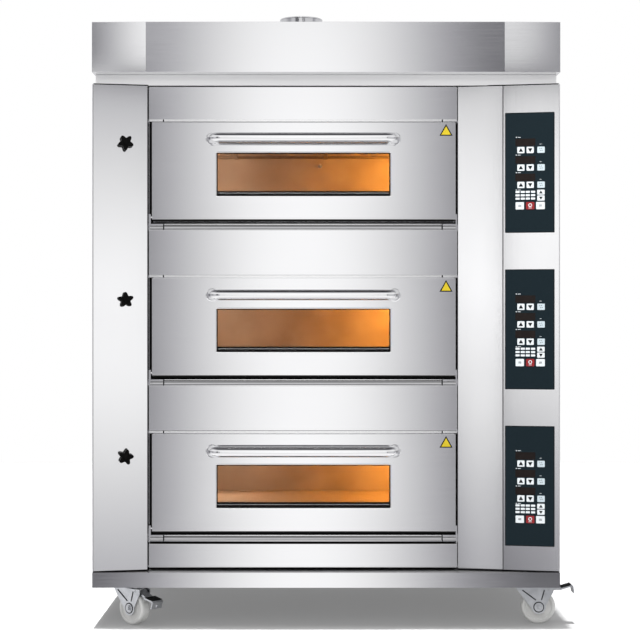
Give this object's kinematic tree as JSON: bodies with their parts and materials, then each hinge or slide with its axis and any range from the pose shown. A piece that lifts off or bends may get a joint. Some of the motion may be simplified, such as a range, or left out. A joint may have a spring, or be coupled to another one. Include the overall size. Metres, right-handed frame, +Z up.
{
  "type": "deck oven",
  "caption": "Free-standing stainless deck oven on swivel castors, with stacked baking chambers behind drop-down glazed doors, side control panels, dampers and a flued hood.",
  "frame": {"origin": "bottom centre of the whole object's box, on the floor plane", "axes": "+Z up; the doors face -Y; +X is to the right of a person facing the doors"},
  "size_m": [1.351, 0.884, 1.803],
  "materials": {
    "polished_steel": "polished stainless sheet with a very fine grain",
    "satin_steel": "satin stainless sheet",
    "chamber_steel": "heat-tinted sheet",
    "heater_sheath": "dark oxidised tube",
    "zinc": "bright zinc plated",
    "hearth_stone": "matt refractory slab",
    "window_glass": "clear tempered",
    "black_plastic": "moulded, slightly glossy",
    "panel_film": "dark membrane film",
    "wheel_nylon": "moulded nylon",
    "key_white": "embossed membrane key",
    "key_red": "embossed membrane key",
    "label_yellow": "printed label film",
    "seal_fibre": "woven glass-fibre rope",
    "lamp_glow": "lit amber chamber lamp"
  },
  "bodies": {
    "root": {"base_frame": "polished_steel", "front_frame": "polished_steel", "inner_column": "polished_steel", "left_column": "polished_steel", "right_column": "polished_steel", "left_side_panel": "polished_steel", "right_side_panel": "polished_steel", "back_panel": "satin_steel", "top_cover": "satin_steel", "hood": "polished_steel", "flue_stub": "polished_steel", "fascia_top": "polished_steel", "fascia_upper": "polished_steel", "fascia_lower": "polished_steel", "fascia_bottom": "polished_steel", "flue_duct": "zinc", "cable_gland": "black_plastic", "chamber_1": "chamber_steel", "hearth_1": "hearth_stone", "upper_heater_1": "heater_sheath", "lower_heater_1": "heater_sheath", "control_panel_1": "panel_film", "chamber_2": "chamber_steel", "hearth_2": "hearth_stone", "upper_heater_2": "heater_sheath", "lower_heater_2": "heater_sheath", "control_panel_2": "panel_film", "chamber_3": "chamber_steel", "hearth_3": "hearth_stone", "upper_heater_3": "heater_sheath", "lower_heater_3": "heater_sheath", "control_panel_3": "panel_film"},
    "door_1": {"door_shell_1": "polished_steel", "door_liner_1": "satin_steel", "door_glass_1": "window_glass", "door_handle_1": "polished_steel"},
    "door_2": {"door_shell_2": "polished_steel", "door_liner_2": "satin_steel", "door_glass_2": "window_glass", "door_handle_2": "polished_steel"},
    "door_3": {"door_shell_3": "polished_steel", "door_liner_3": "satin_steel", "door_glass_3": "window_glass", "door_handle_3": "polished_steel"},
    "damper_1": {"damper_knob_1": "black_plastic", "damper_valve_1": "zinc"},
    "damper_2": {"damper_knob_2": "black_plastic", "damper_valve_2": "zinc"},
    "damper_3": {"damper_knob_3": "black_plastic", "damper_valve_3": "zinc"},
    "castor_front_left": {"castor_fork_front_left": "zinc"},
    "wheel_front_left": {"castor_wheel_front_left": "wheel_nylon"},
    "pedal_front_left": {"brake_pedal_front_left": "zinc"},
    "castor_front_right": {"castor_fork_front_right": "zinc"},
    "wheel_front_right": {"castor_wheel_front_right": "wheel_nylon"},
    "pedal_front_right": {"brake_pedal_front_right": "zinc"},
    "castor_rear_left": {"castor_fork_rear_left": "zinc"},
    "wheel_rear_left": {"castor_wheel_rear_left": "wheel_nylon"},
    "castor_rear_right": {"castor_fork_rear_right": "zinc"},
    "wheel_rear_right": {"castor_wheel_rear_right": "wheel_nylon"}
  },
  "joints": [
    {"name": "door_1_hinge", "type": "hinge", "parent": "root", "child": "door_1", "pos_m": [-0.087, -0.376, 1.147], "axis": [1, 0, 0], "range_deg": [0, 90]},
    {"name": "door_2_hinge", "type": "hinge", "parent": "root", "child": "door_2", "pos_m": [-0.087, -0.376, 0.71], "axis": [1, 0, 0], "range_deg": [0, 90]},
    {"name": "door_3_hinge", "type": "hinge", "parent": "root", "child": "door_3", "pos_m": [-0.087, -0.376, 0.273], "axis": [1, 0, 0], "range_deg": [0, 90]},
    {"name": "damper_1_turn", "type": "hinge", "parent": "root", "child": "damper_1", "pos_m": [-0.5855, -0.41211, 1.351], "axis": [-0.1978, 0.9802, 0], "range_deg": [0, 90]},
    {"name": "damper_2_turn", "type": "hinge", "parent": "root", "child": "damper_2", "pos_m": [-0.5855, -0.41211, 0.914], "axis": [-0.1978, 0.9802, 0], "range_deg": [0, 90]},
    {"name": "damper_3_turn", "type": "hinge", "parent": "root", "child": "damper_3", "pos_m": [-0.5855, -0.41211, 0.477], "axis": [-0.1978, 0.9802, 0], "range_deg": [0, 90]},
    {"name": "castor_front_left_swivel", "type": "hinge", "parent": "root", "child": "castor_front_left", "pos_m": [-0.5915, -0.34, 0.104], "axis": [0, 0, 1], "continuous": true},
    {"name": "wheel_front_left_spin", "type": "hinge", "parent": "castor_front_left", "child": "wheel_front_left", "pos_m": [-0.56545, -0.36185, 0.048], "axis": [0.6428, 0.766, 0], "continuous": true},
    {"name": "brake_front_left_press", "type": "hinge", "parent": "castor_front_left", "child": "pedal_front_left", "pos_m": [-0.54554, -0.37857, 0.098], "axis": [0.6428, 0.766, 0], "range_deg": [-28, 0]},
    {"name": "castor_front_right_swivel", "type": "hinge", "parent": "root", "child": "castor_front_right", "pos_m": [0.5405, -0.34, 0.104], "axis": [0, 0, 1], "continuous": true},
    {"name": "wheel_front_right_spin", "type": "hinge", "parent": "castor_front_right", "child": "wheel_front_right", "pos_m": [0.5745, -0.34, 0.048], "axis": [0, 1, 0], "continuous": true},
    {"name": "brake_front_right_press", "type": "hinge", "parent": "castor_front_right", "child": "pedal_front_right", "pos_m": [0.6005, -0.34, 0.098], "axis": [0, 1, 0], "range_deg": [0, 28]},
    {"name": "castor_rear_left_swivel", "type": "hinge", "parent": "root", "child": "castor_rear_left", "pos_m": [-0.5915, 0.33, 0.104], "axis": [0, 0, 1], "continuous": true},
    {"name": "wheel_rear_left_spin", "type": "hinge", "parent": "castor_rear_left", "child": "wheel_rear_left", "pos_m": [-0.5745, 0.35944, 0.048], "axis": [-0.866, 0.5, 0], "continuous": true},
    {"name": "castor_rear_right_swivel", "type": "hinge", "parent": "root", "child": "castor_rear_right", "pos_m": [0.5405, 0.33, 0.104], "axis": [0, 0, 1], "continuous": true},
    {"name": "wheel_rear_right_spin", "type": "hinge", "parent": "castor_rear_right", "child": "wheel_rear_right", "pos_m": [0.5346, 0.36348, 0.048], "axis": [-0.9848, -0.1736, 0], "continuous": true}
  ]
}
